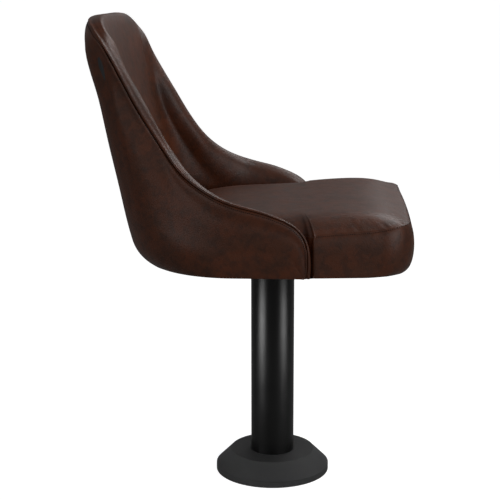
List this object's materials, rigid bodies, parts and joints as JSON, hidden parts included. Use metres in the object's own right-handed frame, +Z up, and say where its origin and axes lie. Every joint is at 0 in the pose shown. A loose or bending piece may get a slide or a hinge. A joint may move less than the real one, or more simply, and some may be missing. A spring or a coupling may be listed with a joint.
{
  "type": "swivel bucket chair",
  "caption": "Floor-mounted swivel bucket chair: upholstered leather shell with low swept arms and a tall back, loose thick cushion, black 76 mm column and a sliding base cover",
  "frame": {"origin": "On the floor, on the column's axis: the centre of the underside of the floor plate, in its bolt circle", "axes": "+Z up along the column; the chair faces -Y; +X is the sitter's left"},
  "size_m": [0.511, 0.5468, 0.811],
  "materials": {
    "leather": "soft satin, fine grain",
    "shell_plastic": "moulded, plain",
    "dust_cloth": "woven, matt black",
    "board_wood": "plywood, plain",
    "powder_black": "satin powder coat",
    "cover_black": "matt powder coat",
    "steel_plain": "machined",
    "zinc": "zinc plated",
    "bearing_plastic": "moulded bearing plastic"
  },
  "bodies": {
    "pedestal": {"floor_plate": "powder_black", "column_tube": "powder_black", "swivel_housing": "steel_plain", "upper_bush": "bearing_plastic", "lower_bush": "bearing_plastic", "thrust_washer": "bearing_plastic"},
    "cover": {"base_cover": "cover_black"},
    "seat": {"spindle": "steel_plain", "keeper_washer": "zinc", "retaining_ring": "zinc", "seat_plate": "powder_black", "plate_bolts": "zinc", "plate_washers": "zinc", "threaded_inserts": "zinc", "seat_board": "board_wood", "dust_cover": "dust_cloth", "shell_frame": "shell_plastic", "shell_screws": "zinc", "outer_cover": "leather", "inner_pad": "leather", "seat_cushion": "leather"}
  },
  "joints": [
    {"name": "seat_swivel", "type": "hinge", "parent": "pedestal", "child": "seat", "pos_m": [0, 0, 0], "axis": [0, 0, 1], "continuous": true},
    {"name": "cover_lift", "type": "slide", "parent": "pedestal", "child": "cover", "axis": [0, 0, 1], "range_m": [0, 0.28]}
  ]
}
